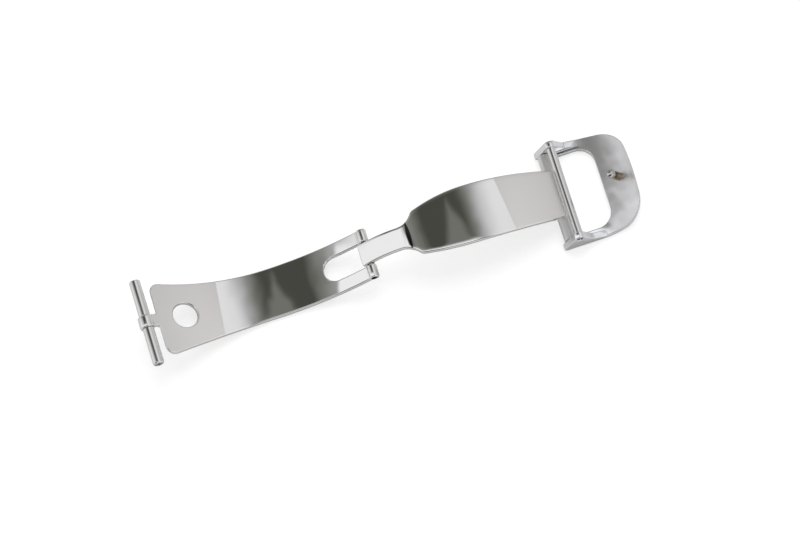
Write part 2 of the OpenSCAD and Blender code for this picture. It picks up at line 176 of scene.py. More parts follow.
def ring_faces(rows: int, columns: int) -> Points:
    """Quads between rings of points that are numbered ring by ring.

    Args:
        rows: Number of rings.
        columns: Number of points in a ring, whose last joins its first.

    Returns:
        Array of four point numbers for each quad.
    """
    i, j = np.meshgrid(np.arange(rows - 1), np.arange(columns), indexing="ij")
    k = (j + 1) % columns
    here, ahead = i * columns, (i + 1) * columns
    return np.stack([here + j, here + k, ahead + k, ahead + j], -1).reshape(-1, 4)


def mesh_piece(name: str, points: Points, faces: list[list[int]]) -> bpy.types.Object:
    """Makes a closed, smooth object from points in millimetres.

    Args:
        name: Name of the piece.
        points: Array of points in the row frame, in millimetres.
        faces: Point numbers of each face.

    Returns:
        The new object, at the origin, with its faces pointing outwards.
    """
    mesh = bpy.data.meshes.new(name)
    mesh.from_pydata((points * MM).tolist(), [], faces)
    shell = bmesh.new()
    shell.from_mesh(mesh)
    bmesh.ops.recalc_face_normals(shell, faces=shell.faces)
    shell.to_mesh(mesh)
    shell.free()
    mesh.shade_smooth()
    piece = bpy.data.objects.new(name, mesh)
    bpy.context.scene.collection.objects.link(piece)
    return piece


def soften(profile: Points, radius: float, steps: int = 5) -> Points:
    """Rounds the inner corners of a profile.

    Each corner P gives way to the curve (1-t)^2 A + 2t(1-t) P + t^2 B, where A and B lie the
    radius away from P along its two sides.

    Args:
        profile: Points of an open profile.
        radius: Length that each corner takes of its sides.
        steps: Number of steps along each curve.

    Returns:
        The points of the rounded profile.
    """
    corner, before, after = profile[1:-1], profile[:-2], profile[2:]
    back = (before - corner) / np.linalg.norm(before - corner, axis=1, keepdims=True)
    on = (after - corner) / np.linalg.norm(after - corner, axis=1, keepdims=True)
    a, b = corner + radius * back, corner + radius * on
    t = np.linspace(0.0, 1.0, steps + 1)[None, :, None]
    curve = (1 - t) ** 2 * a[:, None] + 2 * t * (1 - t) * corner[:, None] + t**2 * b[:, None]
    return np.vstack([profile[:1], curve.reshape(-1, profile.shape[1]), profile[-1:]])


def distance_along(line: Points) -> Points:
    """Distance from the start of a line of points to each of them."""
    return np.concatenate([[0.0], np.cumsum(np.linalg.norm(np.diff(line, axis=0), axis=1))])


def shares(*stretches: tuple[float, int]) -> Points:
    """Shares of a way from 0 on, in stretches that each have an end and a number of steps."""
    found, start = [np.zeros(1)], 0.0
    for end, steps in stretches:
        found.append(np.linspace(start, end, steps + 1)[1:])
        start = end
    return np.concatenate(found)


@dataclass(frozen=True)
class Axis:
    """Axis that a turned piece is made round: its start, direction and a direction across it."""

    start: Triple
    along: Triple = (0.0, 1.0, 0.0)
    across: Triple = (1.0, 0.0, 0.0)


def turned_piece(name: str, profile: Points, axis: Axis, steps: int = 96) -> bpy.types.Object:
    """Turns a profile round an axis.

    A profile point (a, r) becomes the ring start + a along + r (cos t across + sin t third).
    The two ends of the profile have radius 0 and become one point each.

    Args:
        name: Name of the piece.
        profile: Distances along the axis and radii, in millimetres.
        axis: The axis.
        steps: Number of points round each ring.

    Returns:
        The new object.
    """
    start, along, across = (np.array(v, float) for v in (axis.start, axis.along, axis.across))
    third = np.cross(along, across)
    t = np.linspace(0.0, 2.0 * math.pi, steps, endpoint=False)
    spokes = np.cos(t)[:, None] * across + np.sin(t)[:, None] * third
    rings = profile[1:-1]
    points = start + rings[:, 0, None, None] * along + rings[:, 1, None, None] * spokes
    ends = start + profile[[0, -1], 0, None] * along
    quads = ring_faces(len(rings), steps).tolist()
    first, last = len(rings) * steps, (len(rings) - 1) * steps
    near = np.arange(steps)
    after = (near + 1) % steps
    tips = np.stack([np.full(steps, first), after, near], -1).tolist()
    tails = np.stack([np.full(steps, first + 1), last + near, last + after], -1).tolist()
    return mesh_piece(name, np.vstack([points.reshape(-1, 3), ends]), quads + tips + tails)


def bar_profile(half: float, r: float, chamfer: float) -> Points:
    """Profile of a plain round bar about its middle, with softened rims."""
    return soften(np.array([[-half, 0.0], [-half, r], [half, r], [half, 0.0]]), chamfer)


@dataclass(frozen=True)
class Cylinder:
    """Round face of a casting, with its axis along Y, in the row frame."""

    x: float
    z: float
    r: float
    outward: bool = True


@dataclass(frozen=True)
class Casting:
    """Smooth copy of a rigid node, with its edges rounded and its round faces shaded true.

    Points closer than the weld are merged, and facets within flat_deg of each other become one.
    A corner counts as on a round face if it lies within near of it and the cosine between its
    normal and the face's is above agrees.
    """

    node: str
    name: str
    edge: float
    faces: tuple[Cylinder, ...]
    steps: int = 3
    limit_deg: float = 32.0
    weld: float = 0.002
    flat_deg: float = 0.4
    near: float = 0.03
    agrees: float = 0.9

    def build(self, nodes: dict[str, bpy.types.Object]) -> bpy.types.Object:
        """Returns the copy, which stands for its node."""
        mesh = nodes[self.node].data.copy()
        mesh.materials.clear()
        shell = bmesh.new()
        shell.from_mesh(mesh)
        bmesh.ops.remove_doubles(shell, verts=shell.verts, dist=self.weld * MM)
        flat = math.radians(self.flat_deg)
        bmesh.ops.dissolve_limit(shell, angle_limit=flat, verts=shell.verts, edges=shell.edges)
        shell.to_mesh(mesh)
        shell.free()
        mesh.shade_smooth()
        piece = bpy.data.objects.new(self.name, mesh)
        bpy.context.scene.collection.objects.link(piece)
        edge = piece.modifiers.new("edge", "BEVEL")
        edge.width, edge.segments = self.edge * MM, self.steps
        edge.limit_method, edge.angle_limit = "ANGLE", math.radians(self.limit_deg)
        edge.use_clamp_overlap = False
        shade = piece.modifiers.new("shade", "WEIGHTED_NORMAL")
        shade.keep_sharp = False
        ready = piece.evaluated_get(bpy.context.evaluated_depsgraph_get())
        piece.data = bpy.data.meshes.new_from_object(ready)
        piece.modifiers.clear()
        self.shade_true(piece.data)
        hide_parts(self.node)
        return piece

    def shade_true(self, mesh: bpy.types.Mesh) -> None:
        """Gives every corner that lies on a listed round face the normal of that cylinder."""
        corner = np.empty(len(mesh.loops) * 3, np.float32)
        mesh.corner_normals.foreach_get("vector", corner)
        corner = corner.reshape(-1, 3)
        index = np.empty(len(mesh.loops), np.int32)
        mesh.loops.foreach_get("vertex_index", index)
        place = np.empty(len(mesh.vertices) * 3, np.float32)
        mesh.vertices.foreach_get("co", place)
        place = place.reshape(-1, 3)[index] / MM
        for face in self.faces:
            spoke = place[:, [0, 2]] - np.array([face.x, face.z])
            reach = np.linalg.norm(spoke, axis=1)
            aim = np.zeros_like(corner)
            aim[:, [0, 2]] = spoke / reach[:, None] * (1.0 if face.outward else -1.0)
            on = (np.abs(reach - face.r) < self.near) & ((corner * aim).sum(1) > self.agrees)
            corner[on] = aim[on]
        mesh.normals_split_custom_set(corner.tolist())


# ---------------------------------------------------------------- finishes


class Nodes:
    """Short calls that add linked nodes to one material or world."""

    def __init__(self, tree: bpy.types.NodeTree) -> None:
        """Clears the tree and keeps it."""
        self.tree = tree
        tree.nodes.clear()

    def add(self, kind: str, *inputs: Any, **settings: Any) -> bpy.types.Node:
        """Adds a node.

        Args:
            kind: Node type.
            inputs: Values or sockets for its first inputs; None leaves one alone.
            settings: Properties of the node.

        Returns:
            The node.
        """
        node = self.tree.nodes.new(kind)
        for key, value in settings.items():
            setattr(node, key, value)
        for socket, value in zip(node.inputs, inputs):
            self.put(socket, value)
        return node

    def put(self, socket: bpy.types.NodeSocket, value: Any) -> None:
        """Links a socket, or sets its value."""
        if isinstance(value, bpy.types.NodeSocket):
            self.tree.links.new(value, socket)
        elif value is not None:
            socket.default_value = value

    def calc(self, operation: str, a: Any, b: Any = None) -> bpy.types.NodeSocket:
        """Output of a Math node."""
        return self.add("ShaderNodeMath", a, b, operation=operation).outputs[0]

    def madd(self, a: Any, b: Any, c: Any) -> bpy.types.NodeSocket:
        """Product of the first two plus the third."""
        return self.add("ShaderNodeMath", a, b, c, operation="MULTIPLY_ADD").outputs[0]

    def blend(self, share: Any, a: Any, b: Any) -> bpy.types.NodeSocket:
        """Mixes two numbers: a plus share times (b less a)."""
        return self.madd(self.calc("SUBTRACT", b, a), share, a)

    def vector(self, operation: str, a: Any, b: Any = None) -> bpy.types.Node:
        """Vector Math node."""
        return self.add("ShaderNodeVectorMath", a, b, operation=operation)

    def step(
        self, value: Any, low: float, high: float, smooth: bool = True
    ) -> bpy.types.NodeSocket:
        """Goes from 0 at low to 1 at high."""
        kind = "SMOOTHSTEP" if smooth else "LINEAR"
        return self.add(
            "ShaderNodeMapRange", value, low, high, 0.0, 1.0, interpolation_type=kind
        ).outputs[0]

    def all_of(self, *shares: Any) -> Any:
        """Product of shares, which is 1 only where each of them is."""
        whole = shares[0]
        for share in shares[1:]:
            whole = self.calc("MULTIPLY", whole, share)
        return whole

    def mix(self, share: Any, a: Any, b: Any) -> bpy.types.NodeSocket:
        """Mixes two colours."""
        node = self.add("ShaderNodeMix", data_type="RGBA")
        for socket, value in zip((node.inputs[0], node.inputs[6], node.inputs[7]), (share, a, b)):
            self.put(socket, value)
        return node.outputs[2]

    def noise(self, at: Any, scale: float, detail: float = 2.0) -> bpy.types.NodeSocket:
        """Noise factor at a place."""
        return self.add("ShaderNodeTexNoise", at, None, scale, detail).outputs[0]


def rgba(colour: Colour) -> tuple[float, float, float, float]:
    """Colour with full opacity."""
    return (*colour, 1.0)


class Grain(Enum):
    """Direction of the fine lines that a finish leaves, as stretch factors along X, Y and Z."""

    ALONG = (0.06, 1.0, 1.0)
    ACROSS = (1.0, 0.06, 1.0)
    NONE = (1.0, 1.0, 1.0)


def split(n: Nodes, place: Any) -> tuple[Any, Any, Any]:
    """X, Y and Z of a vector."""
    node = n.add("ShaderNodeSeparateXYZ", place)
    return node.outputs[0], node.outputs[1], node.outputs[2]


def in_blade_frame(n: Nodes, flat: Any) -> Any:
    """Turns a place in the row frame, in millimetres, into the blades' frame."""
    moved = n.vector("ADD", flat, (LIE.middle_x, 0.0, -LIE.rise)).outputs[0]
    return n.add(
        "ShaderNodeMapping", moved, None, (0.0, -math.radians(LIE.tilt_deg), 0.0)
    ).outputs[0]


def facing_up(n: Nodes, low: float, high: float) -> Any:
    """Goes from 0 to 1 as the face turns towards the blades' upper side."""
    normal = n.add("ShaderNodeTexCoord").outputs["Normal"]
    up = tuple(LIE.turn() @ np.array([0.0, 0.0, 1.0]))
    return n.step(n.vector("DOT_PRODUCT", normal, up).outputs["Value"], low, high)


@dataclass(frozen=True)
class Zone:
    """Part of a piece with a second finish: its colour, roughness and depth of grain."""

    colour: Colour
    roughness: float
    depth: float

    def share(self, n: Nodes, flat: Any) -> Any:
        """Returns 1 in the zone and 0 outside it."""
        raise NotImplementedError


@dataclass(frozen=True)
class SatinPad(Zone):
    """End of a blade that is left satin, on one side of the line x = edge + slant y.

    The line is in the blades' frame. The side is 1 for the part towards +X and -1 for the other.
    """

    edge: float = 0.0
    slant: float = 0.0
    side: float = 1.0
    fade: float = 0.12
    knuckle: tuple[float, float] = (1.1, 1.5)
    facing: tuple[float, float] = (0.78, 0.86)

    def share(self, n: Nodes, flat: Any) -> Any:
        """Goes from 0 to 1 at the slanted line, on the upper face and not on the knuckle."""
        x, y, _ = split(n, in_blade_frame(n, flat))
        line = n.madd(y, self.slant, self.edge)
        off = n.calc("MULTIPLY", n.calc("SUBTRACT", x, line), self.side)
        inside = n.step(off, -self.fade, self.fade)
        return n.all_of(inside, facing_up(n, *self.facing), n.step(x, *self.knuckle))


@dataclass(frozen=True)
class PaintedCreaseReflection(Zone):
    """Painted dark reflection: a near-black lens of colour along the inner blade's crease, fitted
    to the photograph, which deepens the thinner mark that the crease's rounding mirrors.

    The shift moves its middle from the crease onto the dome's side.
    """

    half_width: float = 0.36
    half_length: float = 2.75
    fade: float = 0.07
    shift: float = 0.12
    facing: tuple[float, float] = (0.2, 0.4)

    def share(self, n: Nodes, flat: Any) -> Any:
        """Goes to 1 where |x - crease| is below half_width (1 - (y / half_length)^2)."""
        x, y, _ = split(n, in_blade_frame(n, flat))
        along = n.calc("DIVIDE", y, self.half_length)
        room = n.madd(n.calc("MULTIPLY", along, along), -self.half_width, self.half_width)
        off = n.calc("ABSOLUTE", n.calc("SUBTRACT", x, float(CREASE[0]) + self.shift))
        inside = n.step(n.calc("SUBTRACT", off, room), self.fade, -self.fade)
        return n.all_of(inside, facing_up(n, *self.facing))


@dataclass(frozen=True)
class PolishedArms(Zone):
    """Arms, cheeks and edges of the buckle: all but the dish's own round face.

    The arms are everything further out than a width that grows along X, up to where they end.
    The dish's face is where the normal points at the dish's axis.
    """

    start: tuple[float, float] = (33.0, 6.2)
    slant: float = 0.12
    fade: float = 0.7
    end: tuple[float, float] = (40.5, 34.5)
    facing: tuple[float, float] = (0.93, 0.8)

    def share(self, n: Nodes, flat: Any) -> Any:
        """Goes to 1 past the line y0 + slant (x - x0), and off the dish's face."""
        x, y, _ = split(n, flat)
        line = n.madd(x, self.slant, self.start[1] - self.slant * self.start[0])
        out = n.step(n.calc("SUBTRACT", n.calc("ABSOLUTE", y), line), -self.fade, self.fade)
        arms = n.all_of(out, n.step(x, *self.end))
        axis = on_middle((DISH_FACE.x, DISH_FACE.y))
        spoke = n.vector("SUBTRACT", axis, flat).outputs[0]
        inward = n.vector("MULTIPLY", spoke, (1.0, 0.0, 1.0)).outputs[0]
        normal = n.add("ShaderNodeTexCoord").outputs["Normal"]
        aim = n.vector("DOT_PRODUCT", normal, n.vector("NORMALIZE", inward).outputs[0])
        return n.calc("MAXIMUM", arms, n.step(aim.outputs["Value"], *self.facing))


@dataclass(frozen=True)
class StudFoot(Zone):
    """Everything on the stud that lies further than a reach from the middle of its ball."""

    reach: tuple[float, float] = (0.9, 1.15)

    def share(self, n: Nodes, flat: Any) -> Any:
        """Goes from 0 to 1 with the distance to the ball's middle."""
        away = n.vector("DISTANCE", flat, on_middle(STUD_BALL)).outputs["Value"]
        return n.step(away, *self.reach)


@dataclass(frozen=True)
class Relief:
    """Slow unevenness of a face, which the shading alone shows, in millimetres.

    The height is -crown y^2 + wave noise. On the tongue and on the fork the shading also leans
    towards the front, by an amount that grows from 0 between two X places of the blades' frame.
    On the fork it goes back to 0 at the knuckle. The mesh is flat across there.
    """

    crown: float = 0.0
    wave: float = 0.0
    wave_scale: float = 0.2
    lean: float = 0.0
    lean_grows: tuple[float, float] = (47.2, 46.2)
    knuckle: tuple[float, float] = (38.9, 38.5)

    def height(self, n: Nodes, flat: Any) -> Any:
        """Height of the relief at a place."""
        _, y, _ = split(n, flat)
        drop = n.calc("MULTIPLY", n.calc("MULTIPLY", y, y), -self.crown)
        return n.madd(n.noise(flat, self.wave_scale, 1.0), self.wave, drop)

    def leaned(self, n: Nodes, flat: Any, normal: Any) -> Any:
        """Adds the lean to a normal: N + (0, -lean, 0), made a unit vector again."""
        if not self.lean:
            return normal
        x, _, _ = split(n, in_blade_frame(n, flat))
        amount = n.calc("MULTIPLY", n.step(x, *self.lean_grows), -self.lean)
        if self.lean_grows[0] < self.knuckle[0]:
            amount = n.calc("MULTIPLY", amount, n.step(x, *self.knuckle))
        front = n.add("ShaderNodeCombineXYZ", 0.0, amount, 0.0).outputs[0]
        return n.vector("NORMALIZE", n.vector("ADD", normal, front).outputs[0]).outputs[0]


@dataclass(frozen=True)
class Metal:
    """Metal finish: colour, roughness, fine grain, faint cloudiness, relief and its zones.

    The cloudiness dims the colour by its amount at most, and takes the roughness from rough_low
    to rough_low + rough_more of its value.
    """

    name: str
    colour: Colour
    roughness: float
    grain: Grain = Grain.NONE
    grain_depth: float = 0.0
    cloud: float = 0.03
    relief: Relief = Relief()
    zones: tuple[Zone, ...] = ()
    cloud_scale: float = 0.35
    rough_low: float = 0.8
    rough_more: float = 0.4
    grain_scale: float = 9.0

    def build(self) -> bpy.types.Material:
        """Returns the material."""
        material = bpy.data.materials.new(self.name)
        material.use_nodes = True
        n = Nodes(material.node_tree)
        place = n.add("ShaderNodeTexCoord").outputs["Object"]
        flat = n.add("ShaderNodeMapping", place, None, None, (1.0 / MM,) * 3).outputs[0]
        cloud = n.noise(flat, self.cloud_scale, 3.0)
        dim = rgba(tuple(c * (1 - self.cloud) for c in self.colour))
        tint = n.mix(cloud, dim, rgba(self.colour))
        rough = n.madd(cloud, self.roughness * self.rough_more, self.roughness * self.rough_low)
        lines = n.add("ShaderNodeMapping", flat, None, None, self.grain.value).outputs[0]
        depth: Any = self.grain_depth
        for zone in self.zones:
            share = zone.share(n, flat)
            tint = n.mix(share, tint, rgba(zone.colour))
            rough = n.blend(share, rough, zone.roughness)
            depth = n.blend(share, depth, zone.depth)
        fine = n.noise(lines, self.grain_scale, 3.0)
        height = n.madd(fine, depth, self.relief.height(n, flat))
        bump = n.add("ShaderNodeBump", 1.0)
        n.put(bump.inputs["Height"], height)
        bump.inputs["Distance"].default_value = MM
        shader = n.add("ShaderNodeBsdfPrincipled")
        n.put(shader.inputs["Base Color"], tint)
        shader.inputs["Metallic"].default_value = 1.0
        n.put(shader.inputs["Roughness"], rough)
        n.put(shader.inputs["Normal"], self.relief.leaned(n, flat, bump.outputs[0]))
        n.add("ShaderNodeOutputMaterial", shader.outputs[0])
        return material


MATERIALS: dict[str, bpy.types.Material] = {}
WHITE = (1.0, 1.0, 1.0)
POLISH = (0.9, 0.895, 0.88)
SATIN = (0.94, 0.91, 0.885)
PAD_POLISH = Metal(
    "outer_blade_polish",
    POLISH,
    0.06,
    relief=Relief(crown=0.0065, wave=0.08, lean=0.17, lean_grows=(32.0, 35.4)),
    zones=(SatinPad(SATIN, 0.42, 0.0012, edge=13.15, slant=0.10, side=-1.0),),
)
DOME_POLISH = Metal(
    "inner_blade_polish",
    POLISH,
    0.06,
    relief=Relief(crown=0.0055, wave=0.04, lean=0.17),
    zones=(
        SatinPad(SATIN, 0.42, 0.0012, edge=64.25, slant=-0.11),
        # painted dark reflection along the crease, near black
        PaintedCreaseReflection((0.09, 0.09, 0.09), 0.12, 0.0),
    ),
)
BUCKLE_SATIN = Metal(
    "buckle_satin",
    (0.93, 0.925, 0.925),
    0.4,
    Grain.ACROSS,
    0.0008,
    relief=Relief(crown=0.008, wave=0.25, wave_scale=0.3),
    zones=(PolishedArms((0.93, 0.935, 0.945), 0.07, 0.0002),),
)
BARREL_SATIN = Metal("barrel_satin", (0.86, 0.85, 0.84), 0.48, Grain.ACROSS, 0.0008)
BAR_POLISH = Metal("bar_polish", (0.88, 0.875, 0.865), 0.14, Grain.ALONG, 0.0002)
PIN_STEEL = Metal("pin_steel_turned", (0.62, 0.61, 0.6), 0.3, Grain.ALONG, 0.0005)
# Painted shade: the bar screws' heads are near black to stand for the shade in their counterbores
# in the cheeks.
SCREW_RECESS_SHADE = Metal("screw_painted_recess_shade", (0.1, 0.1, 0.1), 0.3, Grain.NONE, 0.0005)
STUD_POLISH = Metal(
    "stud_polish", (0.62, 0.61, 0.6), 0.13, zones=(StudFoot((0.36, 0.3, 0.22), 0.2, 0.0002),)
)


def coat(piece: bpy.types.Object, metal: Metal) -> None:
    """Gives an object its finish, which is built once and kept."""
    if metal.name not in MATERIALS:
        MATERIALS[metal.name] = metal.build()
    piece.data.materials.clear()
    piece.data.materials.append(MATERIALS[metal.name])


def dress(piece: bpy.types.Object, metal: Metal, body: str) -> None:
    """Gives a new piece its finish and the body that it rides on."""
    coat(piece, metal)
    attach(piece, body)
    LOG.info("%s: %d faces, on %s", piece.name, len(piece.data.polygons), body)


def dress_node(node: bpy.types.Object, metal: Metal) -> None:
    """Gives a carried-over node its finish."""
    coat(node, metal)
    LOG.info("%s keeps its solid, in %s", node.name, metal.name)


# ---------------------------------------------------------------- sub-assemblies


@dataclass
class OuterBlade:
    """Hollow blade with the pad, the strap hole and the fork, and the pin that its fork holds."""

    edge: float = 0.24
    pin_half: float = 4.55
    pin_r: float = 0.4
    pin_chamfer: float = 0.12

    def build(self, nodes: dict[str, bpy.types.Object]) -> None:
        """Builds the blade and its pin."""
        x, z = LIE.side(OUTER_FACE.x, OUTER_FACE.y)
        faces = (Cylinder(x, z, OUTER_FACE.r, False), Cylinder(x, z, OUTER_FACE.r + WALL))
        blade = Casting("blade_a", "outer_blade", self.edge, faces).build(nodes)
        dress(blade, PAD_POLISH, "outer")
        profile = bar_profile(self.pin_half, self.pin_r, self.pin_chamfer)
        axis = Axis(on_middle(LIE.side(*HINGE)))
        pin = turned_piece("hinge_pin_turned", profile, axis, steps=48)
        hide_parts("hinge_pin")
        dress(pin, PIN_STEEL, "outer")


@dataclass
class InnerBlade:
    """Domed blade: tongue with its knuckle, crease and body, and the barrel under its end.

    The crease's rounding spreads over crease_r, and reaches crease_reach times as far. The
    sections stand closest at the two ends, and widest apart on the dome away from the crease.
    """

    edge: float = 0.24
    tail_x: float = 38.25
    tongue_half: float = 2.0
    flare: Arc = Arc(45.3, 5.5, 3.5)
    widest: tuple[float, float] = (58.0, 5.25)
    shoulder_side_r: float = 35.0
    end_side_r: float = 148.0
    shoulder_r: float = 1.2
    end_x: float = 74.2196
    knuckle_r: float = 0.8
    barrel_r: float = 1.0
    barrel_half: float = 8.1
    barrel_chamfer: float = 0.1
    crease_r: float = 0.45
    crease_reach: float = 5.0
    rounding: tuple[float, float, float, float] = (0.4, -0.65, 0.1, 1.0)
    tongue_sections: tuple[tuple[float, int], ...] = ((0.02, 8), (1.0, 179))
    dome_sections: tuple[tuple[float, int], ...] = ((0.16, 79), (0.995, 119), (1.0, 8))
    corner_steps: int = 5
    flat_steps: int = 12

    def half_width(self, x: Points) -> Points:
        """Half width of the plan at X, from the circles of its flare, shoulder and sides."""
        side = Arc(self.widest[0], self.widest[1] - self.shoulder_side_r, self.shoulder_side_r)
        end = Arc(self.widest[0], self.widest[1] - self.end_side_r, self.end_side_r)
        outer = Arc(self.flare.x, self.flare.y, self.flare.r + self.shoulder_r)
        inner = Arc(side.x, side.y, side.r - self.shoulder_r)
        centre = outer.meets(inner)
        shoulder = Arc(float(centre[0]), float(centre[1]), self.shoulder_r)
        reach = centre - np.array([self.flare.x, self.flare.y])
        turn_in = self.flare.x + self.flare.r * reach[0] / np.linalg.norm(reach)
        lean = centre - np.array([side.x, side.y])
        turn_out = side.x + side.r * lean[0] / np.linalg.norm(lean)
        return np.select(
            [x < self.flare.x, x < turn_in, x < turn_out, x < side.x],
            [np.full_like(x, self.tongue_half), self.flare.low(x), shoulder.high(x), side.high(x)],
            end.high(x),
        )

    def side_view(self) -> tuple[Points, Points]:
        """Face and underside points of each section.

        Both are points c + r (sin t, cos t) on the tongue's circles and then on the dome's. The
        tongue's underside dips to its knuckle where the knuckle's circle lies deeper.

        Returns:
            Points of the face and points of the underside.
        """
        tongue_in = Arc(TONGUE_FACE.x, TONGUE_FACE.y, TONGUE_FACE.r - WALL)
        dome_in = Arc(DOME_FACE.x, DOME_FACE.y, DOME_FACE.r - WALL)
        crease_in = tongue_in.meets(dome_in)
        tail = math.asin((self.tail_x - TONGUE_FACE.x) / TONGUE_FACE.r)
        share = shares(*self.tongue_sections)
        t_face = tail + share * (TONGUE_FACE.angle(CREASE) - tail)
        t_under = tail + share * (tongue_in.angle(crease_in) - tail)
        slant = t_under - TONGUE_FACE.angle(np.array(HINGE))
        arm = math.hypot(HINGE[0] - TONGUE_FACE.x, HINGE[1] - TONGUE_FACE.y)
        bite = self.knuckle_r**2 - (arm * np.sin(slant)) ** 2
        deep = np.where(bite > 0, arm * np.cos(slant) - np.sqrt(np.maximum(bite, 0)), tongue_in.r)
        r_under = np.minimum(tongue_in.r, deep)
        face = TONGUE_FACE.points(t_face)
        under = TONGUE_FACE.points(t_under, r_under)
        along = shares(*self.dome_sections)[1:]
        a0, a1 = DOME_FACE.angle(CREASE), math.asin((self.end_x - DOME_FACE.x) / DOME_FACE.r)
        b0, b1 = dome_in.angle(crease_in), math.asin((self.end_x - dome_in.x) / dome_in.r)
        a, b = a0 + along * (a1 - a0), b0 + along * (b1 - b0)
        dome, dome_under = DOME_FACE.points(a), dome_in.points(b)
        return np.vstack([face, dome]), np.vstack([under, dome_under])

    def fillet(self, line: Points) -> Points:
        """Rounds the crease: each point becomes the mean of its neighbours along the line.

        The weights are exp(-d^2 / 2 s^2) times the length that a point stands for, with d the
        way between two points. Points more than a few s from the crease stay as they are.
        """
        walk = distance_along(line)
        middle = walk[np.argmin(np.linalg.norm(line - CREASE, axis=1))]
        near = np.abs(walk - middle) < self.crease_reach * self.crease_r
        weight = np.exp(-((walk[near, None] - walk[None, :]) ** 2) / (2.0 * self.crease_r**2))
        weight *= np.gradient(walk)
        mean = (weight @ line) / weight.sum(1, keepdims=True)
        out = np.abs(walk[near] - middle) / self.crease_r
        fade = np.clip(self.crease_reach - out, 0.0, 1.0)[:, None]
        smooth = line.copy()
        smooth[near] += fade * (mean - line[near])
        return smooth

    def sweep(self) -> tuple[Points, list[list[int]]]:
        """Carries a rounded rectangle along the side view, with the crease rounder in front.

        At each section the corner's angle t gives a point r (1 - sin t) in from the side and
        r (1 - cos t) down from the face, or up from the underside. Near both ends everything is
        drawn in by r less the root of r^2 - (r - distance to the end)^2. The crease takes the
        share a + b p of its rounding, held between two limits, with p from -1 in front to 1.

        Returns:
            Points and faces.
        """
        face, under = self.side_view()
        walk = distance_along(face)
        ahead = np.minimum(np.minimum(walk, walk[-1] - walk), self.edge)
        shrink = self.edge - np.sqrt(self.edge**2 - (self.edge - ahead) ** 2)
        down = (under - face) / np.linalg.norm(under - face, axis=1, keepdims=True)
        t = np.linspace(0.0, math.pi / 2.0, self.corner_steps + 1)
        inset, drop = self.edge * (1 - np.sin(t)), self.edge * (1 - np.cos(t))
        flat = np.linspace(-1.0, 1.0, self.flat_steps + 1)[1:-1]
        none, one, level = flat * 0, t * 0 + 1, flat * 0 + self.edge
        side = np.concatenate([none, one, one, none, -one, -one])
        part = np.concatenate([flat, one, one, -flat, -one, -one])
        back = np.concatenate([level, inset, inset[::-1], level, inset, inset[::-1]])
        deep = np.concatenate([none, drop, drop[::-1], none, drop, drop[::-1]])
        upper = np.concatenate([none + 1, one, one * 0, none, one * 0, one]) > 0.5
        tuck = deep[None, :] + shrink[:, None]
        base, slope, least, most = self.rounding
        rounding = np.clip(base + slope * part, least, most)[None, :, None]
        top = face[:, None] + rounding * (self.fillet(face) - face)[:, None]
        from_face = top + tuck[..., None] * down[:, None]
        from_under = under[:, None] - tuck[..., None] * down[:, None]
        xz = np.where(upper[None, :, None], from_face, from_under)
        half = self.half_width(xz[..., 0]) - shrink[:, None]
        y = np.where(side == 0, part * (half - self.edge), side * (half - back))
        points = np.stack([xz[..., 0], y, xz[..., 1]], -1)
        rows, columns = points.shape[:2]
        faces = ring_faces(rows, columns).tolist()
        faces += [list(range(columns))[::-1], list(range((rows - 1) * columns, rows * columns))]
        return LIE.place(points.reshape(-1, 3)), faces

    def build(self, nodes: dict[str, bpy.types.Object]) -> None:
        """Builds the blade and its barrel."""
        points, faces = self.sweep()
        blade = mesh_piece("inner_blade", points, faces)
        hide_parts("blade_b")
        dress(blade, DOME_POLISH, "inner")
        profile = bar_profile(self.barrel_half, self.barrel_r, self.barrel_chamfer)
        barrel = turned_piece("barrel", profile, Axis(on_middle(LIE.pivot)))
        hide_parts("pivot_barrel")
        dress(barrel, BARREL_SATIN, "inner")


@dataclass
class StrapEndBar:
    """Two turned sleeves on one screw, which the strap's short end is sewn round."""

    inner: float = 1.15
    outer: float = 7.9
    r: float = 1.0
    chamfer: float = 0.2
    recess_r: float = 0.73
    recess: float = 0.89
    rim: float = 0.06

    def build(self, nodes: dict[str, bpy.types.Object]) -> None:
        """Builds both sleeves and gives the screw its finish."""
        c, o, r = self.chamfer, self.outer, self.r
        floor = o - self.recess
        wall = [[self.inner, 0.0], [self.inner, r], [o - c, r], [o, r - c]]
        front = wall + [[o, self.recess_r], [floor, self.recess_r], [floor, 0.0]]
        start = (-LIE.middle_x, 0.0, LIE.rise)
        for name, profile, way in (("front", front, -1.0), ("rear", wall + [[o, 0.0]], 1.0)):
            axis = Axis(start, (0.0, way, 0.0))
            sleeve = turned_piece(f"sleeve_{name}", soften(np.array(profile), self.rim), axis)
            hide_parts(f"end_bar_sleeve_{name}")
            dress(sleeve, BAR_POLISH, "end_bar")
        dress_node(nodes["end_bar_screw"], PIN_STEEL)


